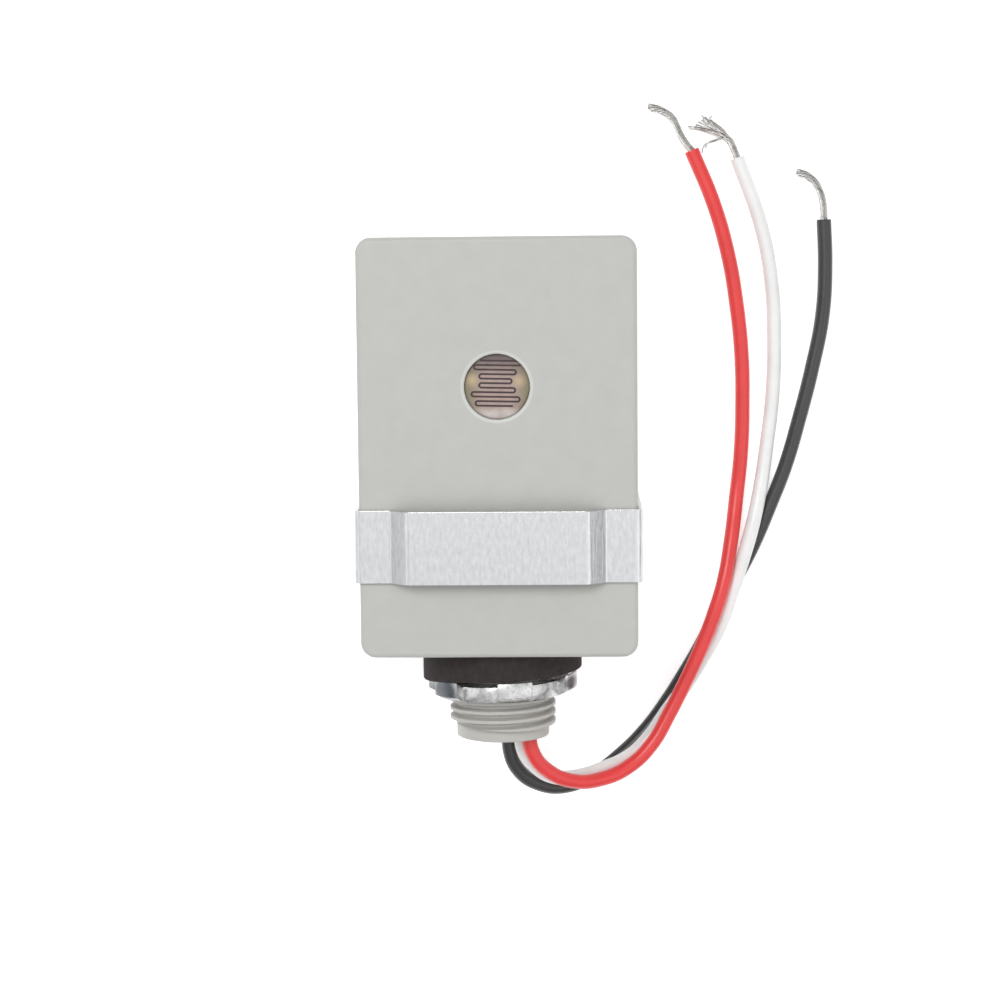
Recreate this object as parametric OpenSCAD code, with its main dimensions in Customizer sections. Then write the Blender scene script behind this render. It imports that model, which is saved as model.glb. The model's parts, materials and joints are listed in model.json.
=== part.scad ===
// Stem-mounted photocell switch, lying on its back with its three leads.
// The back of the case is z = 0, the front faces +Z, the stem points along -Y.

/* [Case] */
// Width of the case
case_w = 54; // [50:0.5:66]
// Height of the case
case_h = 81.5; // [78:0.5:96]
// Depth of the case from back to front
case_d = 38; // [36:0.5:48]
// Thickness of the side, top and bottom walls
wall = 2.6; // [2.3:0.1:3.2]
// Thickness of the front wall
front_wall = 2.5; // [2:0.1:3.2]
// Radius of the four upright corners
corner_r = 3; // [2.8:0.1:5]
// Radius of the round along the front edges
edge_r = 1; // [0.4:0.1:1.6]

/* [Rear cover] */
// Thickness of the rear cover
cover_t = 2; // [1.6:0.1:3]
// Width of the ledge that the cover rests on
ledge_w = 0.9; // [0.6:0.1:1.2]
// Clearance round the cover
cover_gap = 0.1; // [0.05:0.05:0.3]
// Height of the posts that carry the board
post_h = 6; // [4:0.5:9]
// Diameter of the posts
post_d = 6; // [5:0.5:8]

/* [Light cell] */
// Height of the cell's centre above the bottom of the case
cell_rise = 52.7; // [44:0.1:58]
// Diameter of the window in the front wall
window_d = 12.7; // [10:0.1:14]
// Width of the chamfer round the window
window_chamfer = 0.5; // [0.2:0.1:0.8]
// Thickness of the lip that the cell is seated against
lip_t = 1.1; // [0.8:0.1:1.6]
// Diameter of the cell
cell_d = 13.7; // [13:0.1:16]
// Thickness of the cell
cell_t = 2.2; // [1.6:0.1:3]
// Wall of the round boss behind the window
boss_wall = 1.8; // [1.2:0.1:2.6]
// Depth of the boss behind the front wall
boss_h = 5; // [4:0.5:8]
// Radial clearance of the cell and its retainer in the boss
cell_gap = 0.05; // [0.05:0.05:0.2]
// Width of the dark track on the cell
track_w = 0.36; // [0.2:0.02:0.5]
// Distance between two runs of the track
track_pitch = 0.87; // [0.7:0.01:0.95]
// Thickness of the track
track_t = 0.08; // [0.05:0.01:0.2]
// Distance between the two wires of the cell
cell_wire_span = 10; // [8.6:0.2:10.4]
// Diameter of the wires of the cell and of the heater
wire_d = 0.7; // [0.5:0.1:1]

/* [Light shield] */
// Thickness of the shield's sheet
sheet_t = 0.8; // [0.5:0.1:1.2]
// Height of the shield
shield_h = 14.2; // [10:0.2:20]
// Height of the shield's lower edge above the bottom of the case
shield_rise = 14.8; // [13:0.1:30]
// Clearance between the shield and the case
shield_gap = 0.1; // [0.05:0.05:0.3]
// Height of the raised middle above the flats
raise_h = 3; // [2:0.25:6]
// Width of the raised middle
raise_w = 34.6; // [24:0.2:36]
// Width that each slanted part takes up
slant_w = 3.4; // [2:0.2:5]
// Length of the turned-in lips
lip_len = 1.6; // [1.2:0.1:1.7]
// Depth of the tracks for the lips in the rear rims
track_depth = 1.2; // [1.1:0.1:1.5]
// Length of rim that is left at each end of the tracks
track_stop = 3; // [2.5:0.5:6]
// Inside radius of the sheet's bends
bend_r = 0.6; // [0.3:0.1:1]
// Inside radius of the bends at the lips
lip_bend_r = 0.3; // [0.2:0.05:0.3]

/* [Stem] */
// Outside diameter of the stem's thread
stem_d = 21.3; // [20:0.1:22]
// Diameter at half the thread's height, where the nut is engaged
pitch_d = 19.7; // [19:0.1:19.9]
// Length of the stem below the case
stem_len = 18.75; // [17:0.05:24]
// Diameter of the plain end below the thread
pilot_d = 18.6; // [17.2:0.1:18.8]
// Length of the plain end
pilot_len = 2.3; // [1.5:0.1:4]
// Bore of the stem
bore_d = 15.5; // [15:0.1:16.2]
// Diameter of the flange inside the case
flange_d = 26; // [24:0.5:30]
// Thickness of the flange
flange_t = 2; // [1.5:0.1:3]
// Chamfer at the end of the thread and of the stem
stem_chamfer = 0.4; // [0.2:0.1:0.6]
// Distance from the nut to the full thread below it
neck_gap = 0.3; // [0.2:0.05:0.5]
// Radial clearance of fitted round parts
fit_gap = 0.05; // [0.03:0.01:0.1]
// Length of the seal round the leads
seal_len = 8; // [6:0.5:8.5]
// Depth of the seal's inner end below the bottom of the case
seal_drop = 2; // [1:0.5:3]

/* [Gasket and locknut] */
// Outside diameter of the gasket
gasket_d = 32; // [30.5:0.1:35]
// Thickness of the gasket
gasket_t = 5.8; // [4:0.1:7]
// Round on the gasket's outer edges
gasket_round = 0.7; // [0.3:0.1:1.5]
// Radial clearance of the gasket on the stem
gasket_gap = 0.15; // [0.1:0.05:0.3]
// Diameter over the nut's lugs
lug_d = 30.2; // [28.5:0.1:33]
// Diameter between the lugs
nut_d = 26.4; // [25:0.1:27]
// Thickness of the nut's ring
nut_t = 3.1; // [2.4:0.1:3.4]
// Thickness of the nut over its bent lugs
lug_rise = 4.1; // [3.5:0.1:4.4]
// Number of lugs
lugs = 6; // [5:1:8]
// Angle that one lug takes up
lug_angle = 27; // [20:1:32]
// Angle of the first lug from the front
lug_start = -2; // [-20:1:20]
// Clearance between the nut and its neighbours
nut_gap = 0.1; // [0.05:0.05:0.2]

/* [Leads] */
// Outside diameter of a lead
lead_d = 3; // [2.4:0.1:3]
// Diameter of the stripped strands as a bundle
strand_d = 1.5; // [1:0.1:2]
// Clearance round a lead in the seal
lead_gap = 0.1; // [0.05:0.05:0.2]

/* [Switch] */
// Width of the board
board_w = 42; // [40:0.5:44]
// Length of the board
board_h = 58; // [57:0.5:60]
// Thickness of the board
board_t = 1.6; // [1.2:0.1:2.4]
// Distance from the bottom of the case to the board
board_rise = 12; // [11:0.5:14]
// Distance from the board's edges to its screws
screw_inset = 3; // [3:0.25:4]
// Diameter of the board screws
screw_d = 2.4; // [2:0.1:3]
// Diameter of the screw heads
screw_head_d = 4.6; // [4:0.1:5.4]
// Height of the screw heads
screw_head_h = 1.5; // [1:0.1:2]
// Thickness of the brass strips
strip_t = 0.8; // [0.5:0.05:1]
// Width of the brass strips
strip_w = 5; // [4:0.25:5.5]
// Height of the upright tabs that the leads are soldered to
tab_h = 8.8; // [8:0.1:10]
// Height of the uprights that carry the contacts
upright_h = 10.4; // [10:0.1:12]
// Thickness of the two-metal blade
blade_t = 0.6; // [0.4:0.05:0.8]
// Width of the blade
blade_w = 7; // [5:0.25:7.5]
// Height of the blade's middle above the board
blade_rise = 6.4; // [6:0.1:6.6]
// Diameter of the contacts
contact_d = 3.4; // [2.6:0.1:4]
// Thickness of one contact
contact_t = 1; // [0.6:0.05:1.4]
// Gap between the contacts at rest
contact_gap = 0.1; // [0.05:0.05:0.2]
// Diameter of the heater
heater_d = 4.8; // [4:0.1:5.2]
// Length of the heater
heater_len = 18; // [14:0.5:18]
// Diameter of the rivets in the strips
rivet_d = 2; // [1.4:0.1:2.4]

/* [Hidden] */
$fn = 64;
bend_steps = 5;
round_steps = 6;
hole_cut = 1;

axis_z = case_d / 2;
bottom_y = -case_h / 2;
cavity_w = case_w - 2 * wall;
cavity_h = case_h - 2 * wall;
cavity_top = case_d - front_wall;
cavity_r = max(corner_r - wall, 0.4);
rim_w = wall - ledge_w;
rebate_w = case_w - 2 * rim_w;
rebate_h = case_h - 2 * rim_w;
rebate_r = corner_r - rim_w;

cell_y = bottom_y + cell_rise;
cell_r = cell_d / 2;
lip_z = case_d - lip_t;
cell_face = lip_z - track_t;
cell_back = cell_face - cell_t;
seat_r = cell_r + cell_gap;
boss_z = cavity_top - boss_h;
retainer_inset = 0.8;
retainer_t = cell_back - boss_z - retainer_inset;
cell_wire_up = 1.2;
cell_wire_gap = 0.15;

// Right and left turns of the cell's track, from the top run to the bottom one
track_right = [4.55, 3.6, 2.8, 3.5, 4.4];
track_left = [4.5, 3.45, 3.45, 4.9, 4.1];
track_start = -3.3;
track_end = 3.1;
track_top = 5;

stem_r = stem_d / 2;
pitch_r = pitch_d / 2;
pilot_r = pilot_d / 2;
bore_r = bore_d / 2;
thread_end = stem_len - pilot_len;
nut_top = gasket_t + nut_gap;
nut_bottom = nut_top + lug_rise;
neck_top = nut_top - nut_gap / 2;
neck_bottom = nut_bottom + neck_gap;
nut_bore_r = pitch_r + fit_gap;

board_bottom = bottom_y + board_rise;
board_z = cover_t + post_h;
board_top = board_z + board_t;
screw_x = board_w / 2 - screw_inset;
screw_y = [screw_inset, board_h - screw_inset];
pilot_clear = 0.05;
screw_end = 1.5;

// Places on the board, from the middle of its lower edge
tab_y = 6;
line_x = -7;
neutral_x = 3;
post_face_x = 5.8;
line_top = 56;
neutral_top = 23;
load_root = 9;
load_top = 19;
load_foot_w = 4.6;
blade_root = 15;
blade_tip = 56;
heater_x = 3.5;
heater_y = 25;
heater_rise = 6.6;
heater_wire_out = 1.6;
heater_wire_reach = 3.4;
heater_wire_drop = 2.2;
cap_len = 2;
cap_step = 0.15;
cap_wall = 0.3;
junction_y = 45;
junction_len = 4.5;
junction_x = -0.3;
junction_w = 5.8;
cell_wire_x = 3.3;
cell_wire_y = 49;
cell_wire_bend = 1;
rivet_head_h = 0.8;
rivet_head_over = 0.6;
contact_y = line_top - strip_w / 2;
fixed_x = post_face_x + contact_t;
moving_x = fixed_x + contact_gap;
blade_x = moving_x + contact_t;
load_x = blade_x + blade_t;
load_tab_x = load_x + strip_t;
line_rivets = [11, 46];
neutral_rivets = [11, 16];
load_rivets = [10, 16];
junction_rivet_in = [1.7, 2.2];
rivets_at = [
    for (y = line_rivets) [line_x, y],
    for (y = neutral_rivets) [neutral_x, y],
    for (y = load_rivets) [load_tab_x + load_foot_w / 2, y],
    [junction_x, junction_y] + junction_rivet_in
];

// Routes of the leads, from the tab on the board to the stripped end
black_route = [
    [-7, -22.75, 16], [-7, -26.25, 16], [-5.2, -30.75, 16], [-1.6, -35.25, 15.8], [1.3, -40.75, 15.6],
    [1.3, -50.75, 15.6], [1.3, -57.75, 15.6], [1.2, -63.6, 15], [2.8, -68.1, 13.4], [6.9, -71.6, 11],
    [12.4, -72.7, 8.5], [18.2, -70.8, 6.5], [24.1, -66.8, 4.6], [29.4, -61.8, 2.9], [33.8, -56.1, 1.8],
    [37.3, -50.6, 1.5], [40.6, -44.9, 1.5], [44.1, -38, 1.5], [48.2, -30.3, 1.5], [51.8, -23.2, 1.5],
    [55.2, -15.1, 1.5], [58.3, -7.1, 1.5], [61.3, 3.3, 1.5], [63.9, 13.7, 1.5], [65.9, 24.2, 1.5],
    [66.4, 34.2, 1.5], [66.1, 43.6, 1.5]
];
white_route = [
    [3, -22.75, 16], [3, -27.75, 16], [3, -34.75, 17.2], [3.7, -41.75, 18.4], [3.7, -50.75, 18.4],
    [3.7, -57.75, 18.4], [4, -62.9, 18], [6.3, -66.7, 16.4], [10.2, -69.6, 13.8], [15.1, -70, 11.4],
    [20.3, -68.8, 9.4], [25.6, -66.7, 7.7], [30.1, -62.6, 6.2], [33.8, -57.5, 5.1], [37.4, -52.6, 4.7],
    [41.1, -46.6, 4.6], [44.4, -40.5, 4.6], [46.9, -33.5, 4.7], [49.2, -26.5, 4.6], [51.4, -19, 4.2],
    [53.1, -11.4, 2.6], [54.5, -2.4, 1.6], [55.7, 8.2, 1.5], [56, 19.2, 1.5], [55.5, 30.2, 1.5],
    [53.3, 42.3, 1.5], [48.4, 56.3, 1.5]
];
red_route = [
    [11, -22.75, 16], [11, -26.25, 16], [9.5, -30.75, 17], [6.2, -35.25, 20], [5.2, -40.75, 21.4],
    [5.2, -50.75, 21.4], [5.2, -57.75, 21.4], [6, -63, 20.9], [9, -67.1, 19.3], [14, -69.8, 16.8],
    [20, -70.1, 13.5], [25.5, -68.1, 11.3], [30.2, -63.9, 9.7], [34, -57.6, 8.5], [37.3, -51.1, 7.9],
    [40.3, -44.6, 7.8], [43.1, -37.5, 7.7], [45.3, -30.5, 7], [46.9, -22.5, 4.7], [48.2, -13.4, 1.9],
    [49.2, -3.9, 1.5], [49.5, 6.2, 1.5], [49.3, 16.2, 1.5], [48.3, 26.2, 1.5], [46.5, 36.8, 1.5],
    [43.5, 47.3, 1.5], [39.1, 57.9, 1.5]
];
// Places of the leads in the stem, across and up
stem_point = 5;
lead_at = [for (route = [black_route, white_route, red_route]) [route[stem_point].x, route[stem_point].z]];
// Bends of the stripped strands beyond each lead
black_strand_bends = [[65.4, 49.3, 1.3], [63.8, 51.5, 1.2], [61.4, 53.3, 1]];
white_strand_bends = [[45.7, 61.2, 1.3], [43.3, 62.6, 1.2], [40.5, 63.6, 1]];
red_strand_bends = [[36.1, 62.9, 1.3], [33.9, 65.3, 1.2], [30.7, 67.1, 1]];
strand_start = 2.4;
tube_sides = 8;

case_grey = [0.78, 0.78, 0.75];
stem_grey = [0.74, 0.73, 0.7];
brass = [0.8, 0.65, 0.35];
tinned = [0.75, 0.75, 0.76];

function unit(v) = v / norm(v);

// Points of an arc about a centre
function arc(centre, r, from, to, steps) = [
    for (i = [0:steps])
        let (a = from + (to - from) * i / steps)
        centre + r * [cos(a), sin(a)]
];

// Direction of a path at each of its points
function tangents(path) = [
    for (i = [0:len(path) - 1])
        unit(path[min(i + 1, len(path) - 1)] - path[max(i - 1, 0)])
];

// Sideways axis carried along a path without twist
function carried(t, axis, i = 0) =
    i == len(t) ? [] :
    let (next = unit(axis - (axis * t[i]) * t[i]))
    concat([next], carried(t, next, i + 1));

// One edge of a folded strip, with each bend turned about its own centre
function strip_edge(path, radii, t, side) = [
    for (i = [0:len(path) - 1])
        let (
            before = unit(path[max(i, 1)] - path[max(i, 1) - 1]),
            after = unit(path[min(i + 1, len(path) - 1)] - path[min(i, len(path) - 2)]),
            turn = before.x * after.y - before.y * after.x,
            left = [-before.y, before.x]
        )
        each abs(turn) < 0.001
            ? [path[i] + side * t / 2 * left]
            : let (
                hand = sign(turn),
                angle = acos(before * after),
                mid_r = radii[i] + t / 2,
                centre = path[i] - before * mid_r * tan(angle / 2) + hand * left * mid_r,
                r = mid_r - hand * side * t / 2,
                from = atan2(-hand * left.y, -hand * left.x)
            )
            arc(centre, r, from, from + hand * angle, bend_steps)
];

function reversed(list) = [for (i = [len(list) - 1:-1:0]) list[i]];

// Route of the strands: straight out of the lead's end, then along its own bends
function strand_route(lead, bends) =
    let (end = lead[len(lead) - 1], out = unit(end - lead[len(lead) - 2]))
    concat([end, end + strand_start * out], bends);

// Round tube along a path
module tube_along(path, d) {
    t = tangents(path);
    n = carried(t, unit(cross(t[0], [0.3, 0.2, 1])));
    last = len(path) - 1;
    points = [
        for (i = [0:last], k = [0:tube_sides - 1])
            let (a = 360 * k / tube_sides)
            path[i] + d / 2 * (cos(a) * n[i] + sin(a) * cross(t[i], n[i]))
    ];
    sides = [
        for (i = [0:last - 1], k = [0:tube_sides - 1])
            let (j = (k + 1) % tube_sides, a = i * tube_sides, b = a + tube_sides)
            each [[a + k, b + k, b + j], [a + k, b + j, a + j]]
    ];
    start_cap = [for (k = [0:tube_sides - 1]) k];
    end_cap = [for (k = [tube_sides - 1:-1:0]) last * tube_sides + k];
    polyhedron(points, concat(sides, [start_cap, end_cap]));
}

// Section through a rounded edge, outward along x
module edge_section(r, d, e) {
    square_end = [[r, d]];
    round_end = arc([r - e, d - e], e, 0, 90, round_steps);
    polygon(concat([[0, 0], [r, 0]], e > 0 ? round_end : square_end, [[0, d]]));
}

// Block with rounded upright corners and a rounded front edge
module rounded_block(w, h, d, r, e = 0) {
    translate([r - w / 2, r - h / 2, 0])
        cube([w - 2 * r, h - 2 * r, d]);
    for (k = [0:3]) {
        half = (k % 2 == 0 ? w : h) / 2;
        run = (k % 2 == 0 ? h : w) - 2 * r;
        rotate(90 * k)
            translate([half - r, run / 2, 0])
            rotate([90, 0, 0])
            linear_extrude(run)
            edge_section(r, d, e);
        rotate(90 * k)
            translate([half - r, run / 2, 0])
            rotate_extrude(angle = 90)
            edge_section(r, d, e);
    }
}

// Puts children on the stem's axis, with z = 0 at the bottom of the case and +z along the stem
module on_stem() {
    translate([0, bottom_y, axis_z])
        rotate([90, 0, 0])
        children();
}

// Puts children on the board, with the origin at the middle of its lower edge
module on_board() {
    translate([0, board_bottom, board_top])
        children();
}

module case() {
    color(case_grey)
    difference() {
        union() {
            difference() {
                rounded_block(case_w, case_h, case_d, corner_r, edge_r);
                translate([0, 0, -hole_cut])
                    rounded_block(cavity_w, cavity_h, cavity_top + hole_cut, cavity_r);
            }
            translate([0, cell_y, boss_z])
                cylinder(r = seat_r + boss_wall, h = boss_h + front_wall / 2);
        }
        translate([0, cell_y, boss_z - hole_cut])
            cylinder(r = seat_r, h = lip_z - boss_z + hole_cut);
        translate([0, cell_y, lip_z - hole_cut])
            cylinder(d = window_d, h = lip_t + 2 * hole_cut);
        translate([0, cell_y, case_d - window_chamfer])
            cylinder(d1 = window_d, d2 = window_d + 4 * window_chamfer, h = 2 * window_chamfer);
        translate([0, 0, -hole_cut])
            rounded_block(rebate_w, rebate_h, cover_t + hole_cut, rebate_r);
        for (side = [-1, 1])
            translate([side * case_w / 2, 0, 0])
                cube([2 * rim_w, case_h - 2 * track_stop, 2 * track_depth], center = true);
        on_stem()
            translate([0, 0, -wall - hole_cut])
            cylinder(r = stem_r + fit_gap, h = wall + 2 * hole_cut);
    }
}

module rear_cover() {
    color(case_grey * 0.9)
    difference() {
        union() {
            rounded_block(rebate_w - 2 * cover_gap, rebate_h - 2 * cover_gap, cover_t, rebate_r - cover_gap);
            for (x = [-screw_x, screw_x], y = screw_y)
                translate([x, board_bottom + y, cover_t / 2])
                    cylinder(d = post_d, h = board_z - cover_t / 2);
        }
        for (x = [-screw_x, screw_x], y = screw_y)
            translate([x, board_bottom + y, cover_t])
                cylinder(d = screw_d + 2 * pilot_clear, h = post_h + hole_cut);
    }
}

// Folded band round the case, with a raised middle and two lips in the rear tracks
module light_shield() {
    leg_x = case_w / 2 + shield_gap + sheet_t / 2;
    lip_mid = track_depth - shield_gap - sheet_t / 2;
    flat_z = case_d + shield_gap + sheet_t / 2;
    half_path = [
        [leg_x - sheet_t / 2 - lip_len, lip_mid],
        [leg_x, lip_mid],
        [leg_x, flat_z],
        [raise_w / 2 + slant_w, flat_z],
        [raise_w / 2, flat_z + raise_h]
    ];
    half_radii = [0, lip_bend_r, bend_r, bend_r, bend_r];
    path = concat(half_path, reversed([for (p = half_path) [-p.x, p.y]]));
    radii = concat(half_radii, reversed(half_radii));
    color([0.87, 0.87, 0.89])
    translate([0, bottom_y + shield_rise + shield_h, 0])
        rotate([90, 0, 0])
        linear_extrude(shield_h)
        polygon(concat(
            strip_edge(path, radii, sheet_t, 1),
            reversed(strip_edge(path, radii, sheet_t, -1))
        ));
}

// Turned stem: flange inside the case, thread, seat of the nut, thread and plain end
module threaded_stem() {
    color(stem_grey)
    on_stem()
        rotate_extrude()
        polygon([
            [bore_r, -wall - flange_t],
            [flange_d / 2, -wall - flange_t],
            [flange_d / 2, -wall],
            [stem_r, -wall],
            [stem_r, neck_top],
            [pitch_r, neck_top],
            [pitch_r, neck_bottom],
            [stem_r, neck_bottom],
            [stem_r, thread_end - stem_chamfer],
            [stem_r - stem_chamfer, thread_end],
            [pilot_r, thread_end],
            [pilot_r, stem_len - stem_chamfer],
            [pilot_r - stem_chamfer, stem_len],
            [bore_r, stem_len]
        ]);
}

module gasket() {
    outer = gasket_d / 2;
    color([0.13, 0.12, 0.12])
    on_stem()
        rotate_extrude()
        polygon(concat(
            [[stem_r + gasket_gap, 0]],
            arc([outer - gasket_round, gasket_round], gasket_round, -90, 0, round_steps),
            arc([outer - gasket_round, gasket_t - gasket_round], gasket_round, 0, 90, round_steps),
            [[stem_r + gasket_gap, gasket_t]]
        ));
}

// Stamped ring with lugs that are bent towards the gasket
module locknut() {
    root = nut_d / 2 - nut_t / 4;
    tip = lug_d / 2;
    bent = lug_rise - nut_t;
    sunk = nut_t / 8;
    color([0.72, 0.73, 0.74])
    on_stem()
        translate([0, 0, nut_top]) {
            translate([0, 0, bent])
                difference() {
                    cylinder(d = nut_d, h = nut_t);
                    translate([0, 0, -hole_cut])
                        cylinder(r = nut_bore_r, h = nut_t + 2 * hole_cut);
                }
            for (k = [0:lugs - 1])
                rotate(90 - lug_start - lug_angle + k * 360 / lugs)
                    rotate_extrude(angle = lug_angle)
                    polygon([[root, bent + sunk], [tip, 0], [tip, nut_t], [root, lug_rise - sunk]]);
        }
}

// Poured plug that fills the stem round the three leads
module lead_seal() {
    color([0.2, 0.2, 0.2])
    difference() {
        on_stem()
            translate([0, 0, seal_drop])
            cylinder(r = bore_r - fit_gap, h = seal_len);
        for (at = lead_at)
            translate([at.x, bottom_y, at.y])
                rotate([90, 0, 0])
                cylinder(d = lead_d + 2 * lead_gap, h = seal_drop + seal_len + hole_cut);
    }
}

module cell_disc() {
    color([0.85, 0.72, 0.65])
    translate([0, cell_y, cell_back])
        cylinder(r = cell_r, h = cell_t);
}

// One run of the track, from one side to the other
module track_run(x0, x1, y) {
    translate([min(x0, x1), y - track_w / 2, 0])
        cube([abs(x1 - x0), track_w, track_t]);
}

// Half-round end that joins two runs of the track
module track_turn(x, y, side) {
    translate([x, y, 0])
        rotate(side > 0 ? -90 : 90)
        rotate_extrude(angle = 180)
        translate([track_pitch / 2 - track_w / 2, 0])
        square([track_w, track_t]);
}

module cell_track() {
    turns = len(track_right);
    color([0.35, 0.12, 0.12])
    translate([0, cell_y, cell_face]) {
        for (i = [0:turns - 1]) {
            y = track_top - 2 * i * track_pitch;
            right = track_right[i] - track_pitch / 2;
            left = track_pitch / 2 - track_left[i];
            start = i == 0 ? track_start : track_pitch / 2 - track_left[i - 1];
            track_run(start, right, y);
            track_turn(right, y - track_pitch / 2, 1);
            track_run(left, right, y - track_pitch);
            track_turn(left, y - 1.5 * track_pitch, -1);
        }
        track_run(track_pitch / 2 - track_left[turns - 1], track_end, track_top - 2 * turns * track_pitch);
    }
}

// Plug that is pushed into the boss behind the cell, with a hole for each wire
module cell_retainer() {
    color([0.25, 0.25, 0.26])
    translate([0, cell_y, cell_back - retainer_t])
        difference() {
            cylinder(r = cell_r, h = retainer_t);
            for (side = [-1, 1])
                translate([side * cell_wire_span / 2, cell_wire_up, -hole_cut])
                    cylinder(d = wire_d + 2 * cell_wire_gap, h = retainer_t + 2 * hole_cut, $fn = 24);
        }
}

// Two wires from the back of the cell down to the line strip and the junction tab
module cell_wires() {
    x = cell_wire_span / 2;
    y = cell_y + cell_wire_up;
    foot = board_top + strip_t;
    land_y = board_bottom + cell_wire_y - wire_d / 2;
    knee = board_top + heater_rise + heater_d / 2 + wire_d;
    color(tinned) {
        translate([-x, y, foot])
            cylinder(d = wire_d, h = cell_back - foot, $fn = 24);
        tube_along([
            [x, y, cell_back],
            [x, y, knee + 6 * cell_wire_bend],
            [x, y + cell_wire_bend, knee + 4 * cell_wire_bend],
            [cell_wire_x + cell_wire_bend, land_y - 3 * cell_wire_bend, knee + 2 * cell_wire_bend],
            [cell_wire_x, land_y - cell_wire_bend, knee],
            [cell_wire_x, land_y, knee - 3 * cell_wire_bend],
            [cell_wire_x, land_y, foot]
        ], wire_d);
    }
}

module base_board() {
    color([0.55, 0.42, 0.25])
    on_board()
        difference() {
            translate([-board_w / 2, 0, -board_t])
                cube([board_w, board_h, board_t]);
            for (x = [-screw_x, screw_x], y = screw_y)
                translate([x, y, -board_t - hole_cut])
                    cylinder(d = screw_d + 4 * pilot_clear, h = board_t + 2 * hole_cut);
            for (at = rivets_at)
                translate([at.x, at.y, -board_t - hole_cut])
                    cylinder(d = rivet_d + 2 * pilot_clear, h = board_t + 2 * hole_cut);
        }
}

// Four slotted screws that hold the board on the posts
module board_screws() {
    slot_w = screw_d / 4;
    color(tinned)
    on_board()
        for (x = [-screw_x, screw_x], y = screw_y)
            translate([x, y, 0])
                difference() {
                    union() {
                        cylinder(d = screw_head_d, h = screw_head_h);
                        translate([0, 0, screw_end - board_t - post_h])
                            cylinder(d = screw_d, h = board_t + post_h);
                    }
                    translate([-screw_head_d, -slot_w / 2, screw_head_h / 2])
                        cube([2 * screw_head_d, slot_w, screw_head_h]);
                }
}

// Cuts the rivet holes in what lies on the board
module riveted() {
    difference() {
        children();
        for (at = rivets_at)
            translate([at.x, at.y, -hole_cut])
                cylinder(d = rivet_d + 2 * pilot_clear, h = strip_t + 2 * hole_cut);
    }
}

// Upright tab at the lower end of a strip
module solder_tab(x, w) {
    translate([x, tab_y, 0])
        cube([w, strip_t, tab_h]);
}

// Long strip from the black lead to the upright of the fixed contact
module line_strip() {
    left = line_x - strip_w / 2;
    color(brass)
    on_board()
        riveted() {
            translate([left, tab_y, 0])
                cube([strip_w, line_top - tab_y, strip_t]);
            solder_tab(left, strip_w);
            translate([left, line_top - strip_w, 0])
                cube([post_face_x - left, strip_w, strip_t]);
            translate([post_face_x - strip_t, line_top - strip_w, 0])
                cube([strip_t, strip_w, upright_h]);
        }
}

module neutral_strip() {
    left = neutral_x - strip_w / 2;
    color(brass)
    on_board()
        riveted() {
            translate([left, tab_y, 0])
                cube([strip_w, neutral_top - tab_y, strip_t]);
            solder_tab(left, strip_w);
        }
}

// Bracket that carries the root of the blade and the red lead
module load_bracket() {
    color(brass)
    on_board()
        riveted() {
            translate([load_x, load_root, 0])
                cube([strip_t, load_top - load_root, upright_h]);
            translate([load_x, tab_y, 0])
                cube([strip_t + load_foot_w, load_top - tab_y, strip_t]);
            solder_tab(load_tab_x, load_foot_w);
        }
}

// Tab where the cell and the heater are joined
module junction_tab() {
    color(brass)
    on_board()
        riveted()
        translate([junction_x, junction_y, 0])
        cube([junction_w, junction_len, strip_t]);
}

module strip_rivets() {
    head_d = rivet_d + 2 * rivet_head_over;
    color(brass * 0.9)
    on_board()
        for (at = rivets_at)
            translate([at.x, at.y, 0]) {
                translate([0, 0, strip_t])
                    cylinder(d = head_d, h = rivet_head_h, $fn = 32);
                translate([0, 0, -board_t - rivet_head_h / 2])
                    cylinder(d = rivet_d, h = board_t + strip_t + rivet_head_h, $fn = 32);
                translate([0, 0, -board_t - rivet_head_h])
                    cylinder(d = head_d, h = rivet_head_h, $fn = 32);
            }
}

// Contact button with its face towards the other one
module contact(x) {
    color([0.85, 0.85, 0.85])
    on_board()
        translate([x, contact_y, blade_rise])
        rotate([0, 90, 0])
        cylinder(d = contact_d, h = contact_t, $fn = 32);
}

module fixed_contact() {
    contact(post_face_x);
}

module moving_contact() {
    contact(moving_x);
}

// Two-metal blade, fixed at its root to the load bracket
module bimetal_blade() {
    color([0.65, 0.6, 0.55])
    on_board()
        translate([blade_x, blade_root, blade_rise - blade_w / 2])
        cube([blade_t, blade_tip - blade_root, blade_w]);
}

// Puts children on the heater's axis, with z = 0 at its lower end
module on_heater() {
    on_board()
        translate([heater_x, heater_y, heater_rise])
        rotate([-90, 0, 0])
        children();
}

module heater_body() {
    color([0.85, 0.8, 0.7])
    on_heater()
        cylinder(d = heater_d, h = heater_len);
}

// Caps over the ends of the heater's rod
module heater_caps() {
    inner = heater_d / 2 + cap_step;
    outer = inner + cap_wall;
    color(tinned)
    on_heater()
        for (end = [0, 1])
            translate([0, 0, end * heater_len])
                rotate([end * 180, 0, 0])
                rotate_extrude()
                polygon([
                    [0, 0],
                    [inner, 0],
                    [inner, cap_len],
                    [outer, cap_len],
                    [outer, -cap_wall],
                    [0, -cap_wall]
                ]);
}

// Wires from the heater's caps down to the neutral strip and the junction tab
module heater_wires() {
    top = board_top + heater_rise;
    foot = board_top + strip_t;
    low = board_bottom + heater_y - cap_wall;
    high = board_bottom + heater_y + heater_len + cap_wall;
    bend = heater_wire_reach - heater_wire_out;
    color(tinned)
    for (end = [[low, -1], [high, 1]])
        tube_along([
            [heater_x, end[0], top],
            [heater_x, end[0] + end[1] * heater_wire_out, top],
            [heater_x, end[0] + end[1] * (heater_wire_out + 0.72 * bend), top - heater_wire_drop / 3],
            [heater_x, end[0] + end[1] * heater_wire_reach, top - heater_wire_drop],
            [heater_x, end[0] + end[1] * heater_wire_reach, foot]
        ], wire_d);
}

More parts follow.
